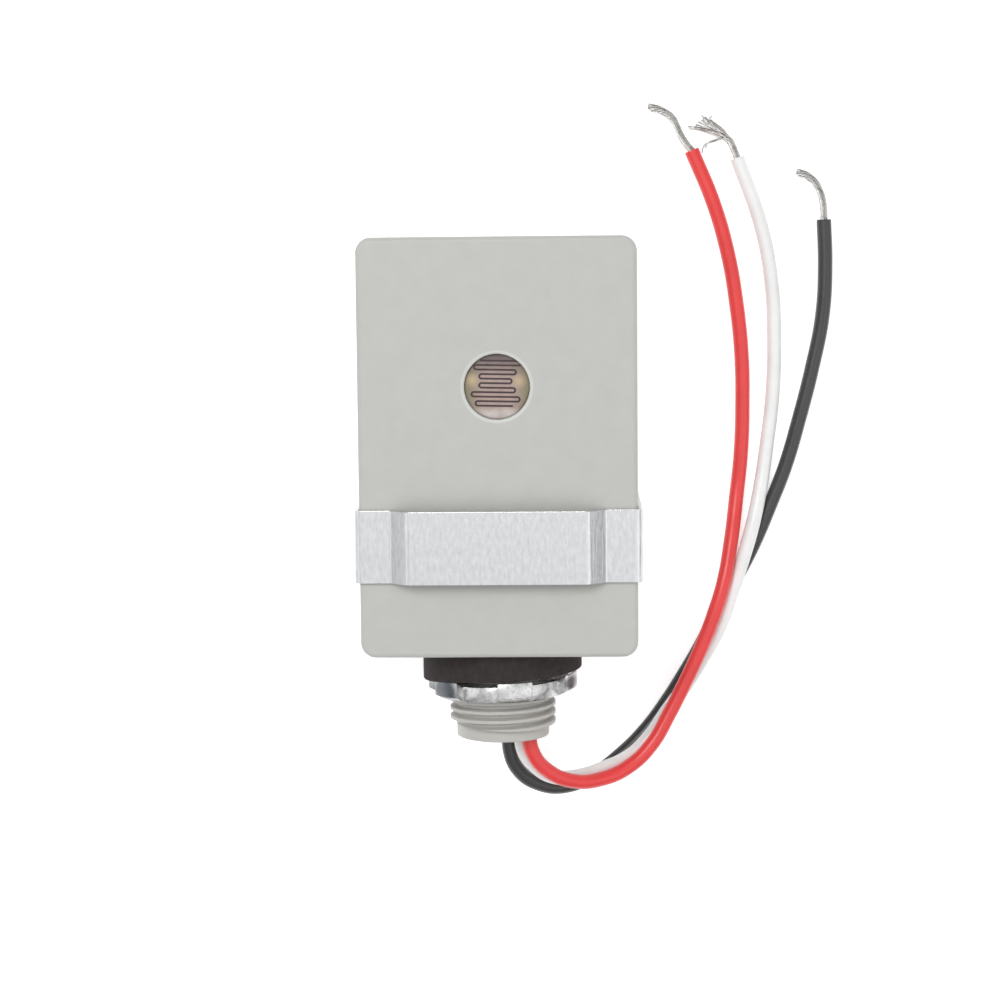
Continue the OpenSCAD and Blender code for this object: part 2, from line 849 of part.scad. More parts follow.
module black_lead() {
    color([0.12, 0.12, 0.12])
    tube_along(black_route, lead_d);
}

module white_lead() {
    color([0.93, 0.93, 0.92])
    tube_along(white_route, lead_d);
}

module red_lead() {
    color([0.9, 0.2, 0.18])
    tube_along(red_route, lead_d);
}

module black_strands() {
    color(tinned)
    tube_along(strand_route(black_route, black_strand_bends), strand_d);
}

module white_strands() {
    color(tinned)
    tube_along(strand_route(white_route, white_strand_bends), strand_d);
}

module red_strands() {
    color(tinned)
    tube_along(strand_route(red_route, red_strand_bends), strand_d);
}

case();
rear_cover();
light_shield();
threaded_stem();
gasket();
locknut();
lead_seal();
cell_disc();
cell_track();
cell_retainer();
cell_wires();
base_board();
board_screws();
line_strip();
neutral_strip();
load_bracket();
junction_tab();
strip_rivets();
fixed_contact();
bimetal_blade();
moving_contact();
heater_body();
heater_caps();
heater_wires();
black_lead();
white_lead();
red_lead();
black_strands();
white_strands();
red_strands();
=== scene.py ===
"""Looks of a stem-mounted photocell switch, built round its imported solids."""

import json
import math
from contextlib import contextmanager
from functools import partial, wraps

import bmesh
import bpy
from mathutils import Matrix, Vector


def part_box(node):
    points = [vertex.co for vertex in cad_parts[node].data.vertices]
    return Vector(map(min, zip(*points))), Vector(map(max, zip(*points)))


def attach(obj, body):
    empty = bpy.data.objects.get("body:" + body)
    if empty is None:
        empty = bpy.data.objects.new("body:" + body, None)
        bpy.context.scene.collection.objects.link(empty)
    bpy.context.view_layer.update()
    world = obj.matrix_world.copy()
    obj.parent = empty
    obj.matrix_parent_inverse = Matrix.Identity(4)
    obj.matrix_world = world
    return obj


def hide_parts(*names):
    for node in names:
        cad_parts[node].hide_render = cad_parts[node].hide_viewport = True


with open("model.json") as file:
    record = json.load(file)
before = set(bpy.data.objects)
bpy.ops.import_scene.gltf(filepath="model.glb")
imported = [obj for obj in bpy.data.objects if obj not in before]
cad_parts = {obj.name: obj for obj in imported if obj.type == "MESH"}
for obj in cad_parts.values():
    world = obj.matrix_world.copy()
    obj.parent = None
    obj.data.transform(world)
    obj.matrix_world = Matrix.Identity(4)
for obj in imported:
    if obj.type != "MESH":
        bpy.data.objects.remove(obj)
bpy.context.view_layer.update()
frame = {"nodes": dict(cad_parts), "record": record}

bl_info = {
    "name": "Photocell switch looks",
    "version": (1, 0, 0),
    "blender": (4, 5, 0),
    "location": "3D View > Sidebar > Photocell",
    "description": "Dresses the solids of a stem-mounted photocell switch for rendering",
    "category": "Object",
}

MM = 0.001

# Distance below which two vertices are one, and slack in a comparison of places
WELD = MM / 1000
SLACK = MM / 100

# Places that the solids give
case_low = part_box("case")[0]
stem_low, stem_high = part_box("threaded_stem")
gasket_low, gasket_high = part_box("gasket")
nut_low, nut_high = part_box("locknut")
shield_low, shield_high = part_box("light_shield")
cell_low, cell_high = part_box("cell_disc")
stem_axis = Vector((0, case_low.y, (stem_low.z + stem_high.z) / 2))
stem_length = case_low.y - stem_low.y
cell_centre = (cell_low + cell_high) / 2

# Routes of the leads, from the tab on the board to the stripped end
LEAD_ROUTES = {
    "black": [
        (-0.007, -0.02275, 0.016), (-0.007, -0.02625, 0.016), (-0.0052, -0.03075, 0.016),
        (-0.0016, -0.03525, 0.0158), (0.0013, -0.04075, 0.0156), (0.0013, -0.05075, 0.0156),
        (0.0013, -0.05775, 0.0156), (0.0012, -0.0636, 0.015), (0.0028, -0.0681, 0.0134),
        (0.0069, -0.0716, 0.011), (0.0124, -0.0727, 0.0085), (0.0182, -0.0708, 0.0065),
        (0.0241, -0.0668, 0.0046), (0.0294, -0.0618, 0.0029), (0.0338, -0.0561, 0.0018),
        (0.0373, -0.0506, 0.0015), (0.0406, -0.0449, 0.0015), (0.0441, -0.038, 0.0015),
        (0.0482, -0.0303, 0.0015), (0.0518, -0.0232, 0.0015), (0.0552, -0.0151, 0.0015),
        (0.0583, -0.0071, 0.0015), (0.0613, 0.0033, 0.0015), (0.0639, 0.0137, 0.0015),
        (0.0659, 0.0242, 0.0015), (0.0664, 0.0342, 0.0015), (0.0661, 0.0436, 0.0015),
    ],
    "white": [
        (0.003, -0.02275, 0.016), (0.003, -0.02775, 0.016), (0.003, -0.03475, 0.0172),
        (0.0037, -0.04175, 0.0184), (0.0037, -0.05075, 0.0184), (0.0037, -0.05775, 0.0184),
        (0.004, -0.0629, 0.018), (0.0063, -0.0667, 0.0164), (0.0102, -0.0696, 0.0138),
        (0.0151, -0.07, 0.0114), (0.0203, -0.0688, 0.0094), (0.0256, -0.0667, 0.0077),
        (0.0301, -0.0626, 0.0062), (0.0338, -0.0575, 0.0051), (0.0374, -0.0526, 0.0047),
        (0.0411, -0.0466, 0.0046), (0.0444, -0.0405, 0.0046), (0.0469, -0.0335, 0.0047),
        (0.0492, -0.0265, 0.0046), (0.0514, -0.019, 0.0042), (0.0531, -0.0114, 0.0026),
        (0.0545, -0.0024, 0.0016), (0.0557, 0.0082, 0.0015), (0.056, 0.0192, 0.0015),
        (0.0555, 0.0302, 0.0015), (0.0533, 0.0423, 0.0015), (0.0484, 0.0563, 0.0015),
    ],
    "red": [
        (0.011, -0.02275, 0.016), (0.011, -0.02625, 0.016), (0.0095, -0.03075, 0.017),
        (0.0062, -0.03525, 0.02), (0.0052, -0.04075, 0.0214), (0.0052, -0.05075, 0.0214),
        (0.0052, -0.05775, 0.0214), (0.006, -0.063, 0.0209), (0.009, -0.0671, 0.0193),
        (0.014, -0.0698, 0.0168), (0.02, -0.0701, 0.0135), (0.0255, -0.0681, 0.0113),
        (0.0302, -0.0639, 0.0097), (0.034, -0.0576, 0.0085), (0.0373, -0.0511, 0.0079),
        (0.0403, -0.0446, 0.0078), (0.0431, -0.0375, 0.0077), (0.0453, -0.0305, 0.007),
        (0.0469, -0.0225, 0.0047), (0.0482, -0.0134, 0.0019), (0.0492, -0.0039, 0.0015),
        (0.0495, 0.0062, 0.0015), (0.0493, 0.0162, 0.0015), (0.0483, 0.0262, 0.0015),
        (0.0465, 0.0368, 0.0015), (0.0435, 0.0473, 0.0015), (0.0391, 0.0579, 0.0015),
    ],
}

# Bends of the stripped strands beyond each lead
STRAND_BENDS = {
    "black": [
        (0.0661, 0.045, 0.0015), (0.0659, 0.047, 0.0014), (0.0654, 0.0491, 0.0013),
        (0.0643, 0.0511, 0.0012), (0.0628, 0.0525, 0.0011), (0.0605, 0.0534, 0.001),
    ],
    "white": [
        (0.0479, 0.0576, 0.0015), (0.0471, 0.0594, 0.0014), (0.0461, 0.0607, 0.0013),
        (0.0448, 0.0615, 0.0012), (0.0422, 0.0626, 0.0011), (0.0396, 0.0634, 0.001),
    ],
    "red": [
        (0.0381, 0.0591, 0.0015), (0.0369, 0.0609, 0.0014), (0.0354, 0.0641, 0.0013),
        (0.0331, 0.066, 0.0011), (0.0302, 0.0669, 0.001),
    ],
}

# Places that the frayed strands of the white lead spread out to
WHITE_TIPS = [
    (0.038, 0.0624, 0.0009), (0.0396, 0.0629, 0.0014), (0.0404, 0.0642, 0.0008),
    (0.0417, 0.065, 0.0012), (0.0419, 0.0569, 0.0005), (0.0432, 0.0643, 0.001),
]


def number(name, description, default, **kind):
    """A number that a user may change."""
    return bpy.props.FloatProperty(name=name, description=description, default=default, **kind)


def numbers(name, description, default, **kind):
    """Several numbers that a user may change together."""
    return bpy.props.FloatVectorProperty(name=name, description=description, default=default, **kind)


# Kinds of settings: lengths and places in metres, angles in radians, powers in watts, and colours
length = partial(number, unit="LENGTH", precision=5)
point = partial(numbers, unit="LENGTH", precision=5, subtype="XYZ")
angle = partial(number, subtype="ANGLE")
power = partial(number, unit="POWER")
colour = partial(numbers, subtype="COLOR", size=4, min=0, max=1)


class StageSettings(bpy.types.PropertyGroup):
    """Camera, floor and lights."""

    eye: point("Eye", "Place of the camera", (0.01534, 0.03955, 0.508))
    target: point("Target", "Point in the middle of the image", (-0.00081, -0.01387, 0))
    roll: angle("Roll", "Turn of the camera about its axis", -0.0096)
    lens: number("Lens", "Focal length on a 36 mm sensor", 88.21, unit="CAMERA")
    floor: colour("Floor", "Colour of the floor", (0.93, 0.93, 0.93, 1))
    floor_size: length("Floor size", "Length of each side of the floor", 3)
    sheet_radius: length("Sheet radius", "Radius of the white sheet under the switch", 0.24)
    table: number("Table", "Lightness of the floor beyond the sheet", 0.7)
    glow: number("Glow", "Light that the floor gives by itself", 0.52)
    horizon: number("Horizon", "Light from the horizon", 0.3)
    overhead: number("Overhead", "Light from above", 0.95)
    key: power("Key", "Power of the key light", 2.9)
    fill: power("Fill", "Power of the fill light", 0.5)
    side: power("Side", "Power of each side light", 0.5)


class LeadSettings(bpy.types.PropertyGroup):
    """Leads and their stripped strands."""

    diameter: length("Diameter", "Outside diameter of a lead", 0.003)
    strand: length("Strand", "Diameter of one strand", 0.0003)
    turns: number("Turns", "Turns of the twist along a bundle", 0.9)
    fray: number("Fray", "Share of the white lead's strands that stays together", 0.45)
    black: colour("Black", "Colour of the black lead", (0.041, 0.04, 0.04, 1))
    white: colour("White", "Colour of the white lead", (0.79, 0.79, 0.785, 1))
    red: colour("Red", "Colour of the red lead", (0.72, 0.047, 0.046, 1))
    tin: colour("Tin", "Colour of the tinned strands", (0.5, 0.49, 0.475, 1))


class HousingSettings(bpy.types.PropertyGroup):
    """Case, cover, stem and gasket."""

    plastic: colour("Plastic", "Colour of the case", (0.453, 0.456, 0.433, 1))
    cover_shade: number("Cover shade", "Lightness of the rear cover against the case", 0.9)
    window: length("Window", "Diameter of the window", 0.0127)
    # Painted highlight: a pale ring laid into the case's colour round the window, where light catches the
    # window's edge
    window_edge: length("Window edge", "Width of the pale edge round the window", 0.0006)
    window_tone: colour("Window tone", "Colour of the window's edge", (0.58, 0.585, 0.56, 1))
    stem_plastic: colour("Stem plastic", "Colour of the stem", (0.455, 0.444, 0.42, 1))
    pitch: length("Pitch", "Distance between two crests of the thread", 0.001814)
    crest_diameter: length("Crest diameter", "Diameter at the top of the thread", 0.0213)
    root_diameter: length("Root diameter", "Diameter at the bottom of the thread", 0.0186)
    neck_diameter: length("Neck diameter", "Diameter of the stem inside the nut", 0.0195)
    pilot_diameter: length("Pilot diameter", "Diameter of the plain end", 0.0186)
    pilot_length: length("Pilot length", "Length of the plain end", 0.0023)
    bore: length("Bore", "Bore of the stem", 0.0155)
    flange: length("Flange", "Thickness of the stem's flange inside the case", 0.002)
    gasket_bore: length("Gasket bore", "Bore of the gasket", 0.0216)
    gasket_slant: length("Gasket slant", "How much thinner the gasket is on its right", 0.0012)
    gasket_bulge: length("Gasket bulge", "How far the gasket's rim bulges on its left", 0.001)
    gasket_rim: length("Gasket rim", "Width of the rim that the nut doesn't press", 0.0008)
    gasket_dish: length("Gasket dish", "Depth that the nut has pressed into the gasket", 0.00048)
    gasket_edge: length("Gasket edge", "Rounding of the gasket's edges", 0.00035)
    rubber: colour("Rubber", "Colour of the gasket", (0.032, 0.0255, 0.0255, 1))


class MetalSettings(bpy.types.PropertyGroup):
    """Shield and locknut."""

    sheet: length("Sheet", "Thickness of the shield's sheet", 0.0008)
    raised_width: length("Raised width", "Width of the shield's raised middle", 0.0346)
    slant_width: length("Slant width", "Width that each slanted part takes up", 0.0034)
    raise_height: length("Raise height", "Height of the raised middle above the flats", 0.003)
    lip: length("Lip", "Width of the shield's turned-in lips", 0.0016)
    bend: length("Bend", "Inside radius of the shield's bends", 0.0006)
    lip_bend: length("Lip bend", "Inside radius of the bends at the lips", 0.0003)
    burr: length("Burr", "Rounding of the sheet's cut edges", 0.00012)
    aluminium: colour("Aluminium", "Colour of the shield", (0.615, 0.62, 0.635, 1))
    nut_ring: length("Nut ring", "Diameter of the nut between its lugs", 0.0264)
    nut_bore: length("Nut bore", "Bore of the nut", 0.0199)
    lug_diameter: length("Lug diameter", "Diameter of the nut over its lugs", 0.0302)
    nut_thickness: length("Nut thickness", "Thickness of the nut's ring", 0.0031)
    nut_edge: length("Nut edge", "Rounding of the nut's edges", 0.00014)
    lugs: bpy.props.IntProperty(name="Lugs", description="Number of lugs", default=6)
    lug_angle: angle("Lug angle", "Angle that one lug takes up", math.radians(27))
    lug_start: angle("Lug start", "Angle of the first lug from the front", math.radians(-2))
    nut_tilt: angle("Nut tilt", "Lean of the nut, which follows the thread", math.radians(1.7))
    zinc: colour("Zinc", "Colour of the plated steel", (0.6, 0.603, 0.6, 1))
    # Painted dark reflections: two darker patches laid into the zinc's colour on the left and right lugs,
    # where the plating mirrors dark surroundings
    stain: colour("Stain", "Colour of the stained zinc", (0.12, 0.13, 0.145, 1))
    left_stain: point("Left stain", "Middle of the stain on the left lug", (-0.0112, -0.0488, 0.019))
    left_reach: length("Left reach", "Radius of the stain on the left lug", 0.0025)
    right_stain: point("Right stain", "Middle of the stain on the right lug", (0.0138, -0.048, 0.019))
    right_reach: length("Right reach", "Radius of the stain on the right lug", 0.0012)


class CellSettings(bpy.types.PropertyGroup):
    """Light cell behind the window."""

    film: colour("Film", "Colour of the film in the middle", (0.35, 0.255, 0.228, 1))
    film_edge: colour("Film edge", "Colour of the film at its sides", (0.215, 0.182, 0.11, 1))
    solder: colour("Solder", "Colour of the two golden spots", (0.46, 0.35, 0.21, 1))
    # Painted glint: a pale colour laid on the film below the dark line, where light glints off it
    glint: colour("Glint", "Colour of the bare film below the line", (0.6, 0.58, 0.55, 1))
    line: colour("Line", "Colour of the dark line", (0.03, 0.009, 0.011, 1))
    # Painted shade: the film is darkened outwards from this radius, in the gap between the cell and the
    # window
    rim: length("Rim", "Radius at which the film gets dim", 0.0062)
    rim_soft: length("Rim soft", "Width over which the rim gets dim", 0.0003)
    spot_radius: length("Spot radius", "Radius of a golden spot", 0.0008)
    left_spot: point("Left spot", "Left golden spot from the middle of the cell", (-0.0048, 0.0013, 0))
    right_spot: point("Right spot", "Right golden spot from the middle of the cell", (0.0042, 0.001, 0))
    tilt: angle("Tilt", "Turn of the dark line in the window", math.radians(-1.3))


SETTINGS = {
    "photocell_stage": StageSettings,
    "photocell_leads": LeadSettings,
    "photocell_housing": HousingSettings,
    "photocell_metal": MetalSettings,
    "photocell_cell": CellSettings,
}


# Modelling helpers


def choose(piece):
    """Makes a piece the active one and the only one that is selected."""
    bpy.ops.object.select_all(action="DESELECT")
    bpy.context.view_layer.objects.active = piece
    piece.select_set(True)


def rename(piece, name):
    """Gives a piece and its mesh the same name."""
    piece.name = name
    piece.data.name = name


@contextmanager
def editing(piece, select_mode):
    """Edit mode on one piece alone, with its mesh at hand."""
    choose(piece)
    bpy.ops.object.mode_set(mode="EDIT")
    bpy.ops.mesh.select_mode(type=select_mode)
    yield bmesh.from_edit_mesh(piece.data)
    bpy.ops.object.mode_set(mode="OBJECT")


def pick(piece, elements, wanted):
    """Selects the elements of an edited mesh that pass a test, and nothing else."""
    bpy.ops.mesh.select_all(action="DESELECT")
    for element in elements:
        element.select_set(wanted(element))
    bmesh.update_edit_mesh(piece.data)


def drawn(name, points):
    """Draws an open line by extruding one vertex from point to point."""
    bpy.ops.mesh.primitive_plane_add(size=MM)
    piece = bpy.context.object
    rename(piece, name)
    with editing(piece, "VERT"):
        bpy.ops.mesh.merge(type="CENTER")
        bpy.ops.transform.translate(value=points[0])
        for before, after in zip(points, points[1:]):
            step = Vector(after) - Vector(before)
            bpy.ops.mesh.extrude_region_move(TRANSFORM_OT_translate={"value": step})
    return piece


def on_stem(radius, drop, angle=0.0):
    """Point at a radius from the stem's axis, a drop below the case and an angle from the front."""
    return Vector((radius * math.sin(angle), stem_axis.y - drop, stem_axis.z + radius * math.cos(angle)))


def stem_angle(point):
    """Angle of a point round the stem's axis, from the front."""
    return math.atan2(point.x, point.z - stem_axis.z)


def stem_radius(point):
    """Distance of a point from the stem's axis."""
    return math.hypot(point.x, point.z - stem_axis.z)


def spun(name, profile, steps, start=0.0):
    """Closes a drawn profile of radius and drop, and spins it round the stem's axis."""
    piece = drawn(name, [on_stem(radius, drop, start) for radius, drop in profile])
    with editing(piece, "VERT") as mesh:
        pick(piece, mesh.verts, lambda vert: len(vert.link_edges) == 1)
        bpy.ops.mesh.edge_face_add()
        bpy.ops.mesh.select_all(action="SELECT")
        bpy.ops.mesh.spin(steps=steps, angle=math.tau, center=stem_axis, axis=(0, 1, 0))
        bpy.ops.mesh.select_all(action="SELECT")
        bpy.ops.mesh.remove_doubles(threshold=WELD)
        bpy.ops.mesh.normals_make_consistent(inside=False)
    return piece


def arc(centre, radius, first, last, steps):
    """Points of an arc in a profile, with angles in degrees."""
    angles = [math.radians(first + (last - first) * i / steps) for i in range(steps + 1)]
    return [(centre[0] + radius * math.cos(a), centre[1] + radius * math.sin(a)) for a in angles]


def apply_modifier(piece, kind, **settings):
    """Adds a modifier to a piece and applies it."""
    choose(piece)
    modifier = piece.modifiers.new(kind.title(), kind)
    for key, value in settings.items():
        setattr(modifier, key, value)
    bpy.ops.object.modifier_apply(modifier=modifier.name)


def bevel(piece, width, degrees):
    """Rounds the edges of a piece that are sharper than an angle."""
    apply_modifier(
        piece, "BEVEL", width=width, segments=2, limit_method="ANGLE", angle_limit=math.radians(degrees)
    )


def shade(piece, degrees):
    """Smooth shading, with edges sharper than an angle left sharp."""
    choose(piece)
    bpy.ops.object.shade_smooth_by_angle(angle=math.radians(degrees))


def shade_flats(piece, degrees):
    """Smooth shading of bends alone, which keeps the flats between them flat."""
    shade(piece, degrees)
    apply_modifier(piece, "WEIGHTED_NORMAL", keep_sharp=True, weight=100)


def turn_about(piece, middle, angle):
    """Turns the mesh of a piece about an upright axis through a point."""
    turn = Matrix.Rotation(angle, 4, "Z")
    piece.data.transform(Matrix.Translation(middle) @ turn @ Matrix.Translation(-middle))


def merged_copy(node, name):
    """Copy of a solid with its loose triangles joined and its flats kept flat."""
    piece = frame["nodes"][node].copy()
    piece.data = piece.data.copy()
    rename(piece, name)
    bpy.context.scene.collection.objects.link(piece)
    piece.data.materials.clear()
    with editing(piece, "VERT"):
        bpy.ops.mesh.select_all(action="SELECT")
        bpy.ops.mesh.remove_doubles(threshold=WELD)
    shade_flats(piece, degrees=35)
    return piece


def seat(piece, body, nodes, slot, make, *values, **settings):
    """Gives a finished piece a finish named after a slot, hangs it on its body and hides the solids that it
    stands for.
    """
    material = make(f"{slot}_finish", *values, **settings)
    piece.data.materials.clear()
    piece.data.materials.append(material)
    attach(piece, body)
    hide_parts(*nodes)
    return material


# Shader nodes

# Kind of a group's socket for each number of values that it holds
SOCKET_KINDS = {1: "NodeSocketFloat", 3: "NodeSocketVector", 4: "NodeSocketColor"}

# Range that most of a noise lies in
NOISE_RANGE = (0.3, 0.7)

# Clear coat over the light cell
CLEAR_COAT = {"Coat Weight": 0.25, "Coat Roughness": 0.12}

# Shares of the cell's radius between which each zone of its film sets in: the sides turn golden, the top
# takes a painted shadow of the window's lip, the bottom a painted glint
FILM_ZONES = {"sides": (0.4, 0.8), "upper": (0.3, 0.95), "lower": (-0.58, -0.72)}

# Looks of the two platings that several pieces share
TINNED = {"rough": 0.3, "drift": 0.2}
ZINC_PLATED = {"rough": 0.3, "drift": 0.2, "depth": 0.00001, "fleck": 0.7}


def feed(tree, node, inputs):
    """Gives inputs of a node fixed values, or links them to the sockets of other nodes."""
    for key, value in inputs.items():
        if isinstance(value, bpy.types.NodeSocket):
            tree.links.new(value, node.inputs[key])
        else:
            node.inputs[key].default_value = value


def add(tree, kind, inputs=None, **settings):
    """Adds a node with its settings and inputs."""
    made = tree.nodes.new(kind)
    for key, value in settings.items():
        setattr(made, key, value)
    feed(tree, made, inputs or {})
    return made


def own_place(tree):
    """Place on a piece, in its own coordinates."""
    return add(tree, "ShaderNodeTexCoord").outputs["Object"]


def sum_of(tree, operation, *values):
    """Result of a sum with numbers."""
    return add(tree, "ShaderNodeMath", dict(enumerate(values)), operation=operation).outputs[0]


def vector_sum(tree, operation, *values):
    """Result of a sum with vectors."""
    made = add(tree, "ShaderNodeVectorMath", dict(enumerate(values)), operation=operation)
    return made.outputs["Value" if operation == "LENGTH" else "Vector"]


def mapped(tree, value, start, end, first=0.0, last=1.0):
    """Number that goes from first to last while a value goes from start to end."""
    return add(tree, "ShaderNodeMapRange", {
        "Value": value, "From Min": start, "From Max": end, "To Min": first, "To Max": last
    }).outputs["Result"]


def lightened(tree, tone, value):
    """Colour with its lightness multiplied by a value."""
    return add(tree, "ShaderNodeHueSaturation", {"Color": tone, "Value": value}).outputs["Color"]


def darkened(tree, mask, tone, least):
    """Colour that is dimmed to a least lightness where a mask is one."""
    return lightened(tree, tone, mapped(tree, mask, 0.0, 1.0, 1.0, least))


def blended(tree, mask, tone, other):
    """Colour that goes over to another one where a mask is one."""
    mix = add(tree, "ShaderNodeMix", {"Factor": mask, "A": tone, "B": other}, data_type="RGBA")
    return mix.outputs["Result"]


def stretched_noise(tree, given, detail, roughness):
    """Noise on a piece's own coordinates, with a group's scale and stretch."""
    return add(tree, "ShaderNodeTexNoise", {
        "Vector": vector_sum(tree, "MULTIPLY", own_place(tree), given["Stretch"]),
        "Scale": given["Scale"], "Detail": detail, "Roughness": roughness,
    }).outputs["Fac"]


def new_group(name, inputs, outputs):
    """Empty shader group, the sockets that it is given, and its result."""
    tree = bpy.data.node_groups.new(name, "ShaderNodeTree")
    for in_out, sockets in (("INPUT", inputs), ("OUTPUT", outputs)):
        for label, default in sockets.items():
            size = len(default) if isinstance(default, tuple) else 1
            socket = tree.interface.new_socket(name=label, in_out=in_out, socket_type=SOCKET_KINDS[size])
            socket.default_value = default
    return tree, tree.nodes.new("NodeGroupInput").outputs, tree.nodes.new("NodeGroupOutput")


def tone_group(name):
    """Drift of a colour's lightness over a surface, with the noise as a mask."""
    tree, given, result = new_group(
        name,
        {"Colour": (0.5, 0.5, 0.5, 1), "Scale": 200, "Amount": 0.03, "Stretch": (1, 1, 1)},
        {"Colour": (0.5, 0.5, 0.5, 1), "Mask": 0},
    )
    noise = stretched_noise(tree, given, detail=5, roughness=0.6)
    darkest = sum_of(tree, "SUBTRACT", 1.0, given["Amount"])
    lightest = sum_of(tree, "ADD", 1.0, given["Amount"])
    drift = mapped(tree, noise, *NOISE_RANGE, darkest, lightest)
    feed(tree, result, {"Colour": lightened(tree, given["Colour"], drift), "Mask": noise})
    return tree


def grain_group(name):
    """Fine height of a surface: noise that can be drawn out along an axis."""
    tree, given, result = new_group(name, {"Scale": 3000, "Stretch": (1, 1, 1)}, {"Height": 0})
    feed(tree, result, {"Height": stretched_noise(tree, given, detail=3, roughness=0.55)})
    return tree


def pore_group(name):
    """Mask of scattered round pores or specks: one in a speck and nought between."""
    tree, given, result = new_group(name, {"Scale": 2000, "Size": 0.35}, {"Mask": 0})
    cells = add(tree, "ShaderNodeTexVoronoi", {"Vector": own_place(tree), "Scale": given["Scale"]})
    mask = mapped(tree, cells.outputs["Distance"], 0.0, given["Size"], 1.0, 0.0)
    feed(tree, result, {"Mask": mask})
    return tree


def ring_group(name):
    """Mask of a ring round an upright axis: one in the ring and nought outside, with soft edges."""
    tree, given, result = new_group(
        name, {"Centre": (0, 0, 0), "Inner": 0, "Outer": 1, "Soft": 0.1}, {"Mask": 0}
    )
    away = vector_sum(tree, "SUBTRACT", own_place(tree), given["Centre"])
    radius = vector_sum(tree, "LENGTH", vector_sum(tree, "MULTIPLY", away, (1, 1, 0)))
    masks = []
    for edge, inside in (("Inner", 0), ("Outer", 1)):
        before = sum_of(tree, "SUBTRACT", given[edge], given["Soft"])
        after = sum_of(tree, "ADD", given[edge], given["Soft"])
        masks.append(mapped(tree, radius, before, after, inside, 1 - inside))
    feed(tree, result, {"Mask": sum_of(tree, "MULTIPLY", *masks)})
    return tree


GROUPS = {"Tone drift": tone_group, "Fine grain": grain_group, "Pores": pore_group, "Ring": ring_group}


def use_group(tree, name, inputs):
    """Outputs of a shared group, placed in a material with its own values."""
    group = bpy.data.node_groups.get(name) or GROUPS[name](name)
    return add(tree, "ShaderNodeGroup", inputs, node_tree=group).outputs


def ring_mask(tree, centre, inner, outer, soft):
    """Mask of a ring with a centre, two radii and a soft edge."""
    return use_group(tree, "Ring", {"Centre": centre, "Inner": inner, "Outer": outer, "Soft": soft})["Mask"]


# Materials


def kept(make):
    """Makes a finish once, and gives the same one when its name is asked for again."""
    @wraps(make)
    def finish(name, *values, **settings):
        return bpy.data.materials.get(name) or make(name, *values, **settings)
    return finish


def surface(name, fixed):
    """Material with one shader, whose fixed values are set on the shader's own sockets."""
    material = bpy.data.materials.new(name)
    material.use_nodes = True
    tree = material.node_tree
    shader = tree.nodes["Principled BSDF"]
    feed(tree, shader, fixed)
    return material, tree, shader


def add_grain(tree, shader, scale, depth, stretch=(1, 1, 1)):
    """Bump of the fine grain, with its depth in metres."""
    grain = use_group(tree, "Fine grain", {"Scale": scale, "Stretch": stretch})
    bump = add(tree, "ShaderNodeBump", {"Distance": depth, "Height": grain["Height"]})
    feed(tree, shader, {"Normal": bump.outputs["Normal"]})
    return bump


def add_tone(tree, shader, tone, scale, amount, stretch=(1, 1, 1)):
    """Base colour that drifts over the surface."""
    drift = use_group(tree, "Tone drift", {
        "Colour": tone, "Scale": scale, "Amount": amount, "Stretch": stretch
    })
    feed(tree, shader, {"Base Color": drift["Colour"]})
    return drift


def add_roughness(tree, shader, mask, middle, spread):
    """Roughness that follows a mask, by a spread to both sides of its middle."""
    rough = mapped(tree, mask, *NOISE_RANGE, middle - spread, middle + spread)
    feed(tree, shader, {"Roughness": rough})


def add_ring(material, tone, *ring):
    """Blends another colour into a finish, in a ring round an upright axis."""
    tree = material.node_tree
    shader = tree.nodes["Principled BSDF"]
    base = next(link.from_socket for link in tree.links if link.to_socket == shader.inputs["Base Color"])
    feed(tree, shader, {"Base Color": blended(tree, ring_mask(tree, *ring), base, tone)})


@kept
def plastic(name, tone, rough, drift=0.025, gloss=0.4, mottle=260, spread=0.05, grain=2600,
            depth=0.000012):
    """Moulded or extruded plastic, resin, laminate or ceramic with a fine grain."""
    material, tree, shader = surface(name, {"IOR": 1.5, "Specular IOR Level": gloss})
    tones = add_tone(tree, shader, tone, mottle, drift)
    add_roughness(tree, shader, tones["Mask"], rough, spread)
    add_grain(tree, shader, grain, depth)
    return material


@kept
def metal(name, tone, rough, stretch=(1, 1, 1), drift=0.06, depth=0.000006, spread=0.08, fleck=1.0,
          mottle=900, streak=(1, 1, 1), grain=1800):
    """Bare or plated metal with drawn-out grain, uneven polish and dim flecks."""
    material, tree, shader = surface(name, {"Metallic": 1.0})
    tones = add_tone(tree, shader, tone, mottle, drift, streak)
    add_roughness(tree, shader, tones["Mask"], rough, spread)
    add_grain(tree, shader, grain, depth, stretch)
    flecks = use_group(tree, "Pores", {"Scale": 1600, "Size": 0.5})
    feed(tree, shader, {"Base Color": darkened(tree, flecks["Mask"], tones["Colour"], fleck)})
    return material


@kept
def foam(name, tone):
    """Closed-cell rubber foam with open pores on its cut face."""
    material, tree, shader = surface(name, {"Roughness": 0.82, "Specular IOR Level": 0.25})
    add_tone(tree, shader, tone, scale=700, amount=0.25)
    pores = use_group(tree, "Pores", {"Scale": 2600, "Size": 0.45})
    bump = add_grain(tree, shader, scale=3200, depth=0.00003)
    dip = add(tree, "ShaderNodeBump", {
        "Strength": 0.6, "Distance": 0.00004, "Height": pores["Mask"]
    }, invert=True)
    feed(tree, bump, {"Normal": dip.outputs["Normal"]})
    return material


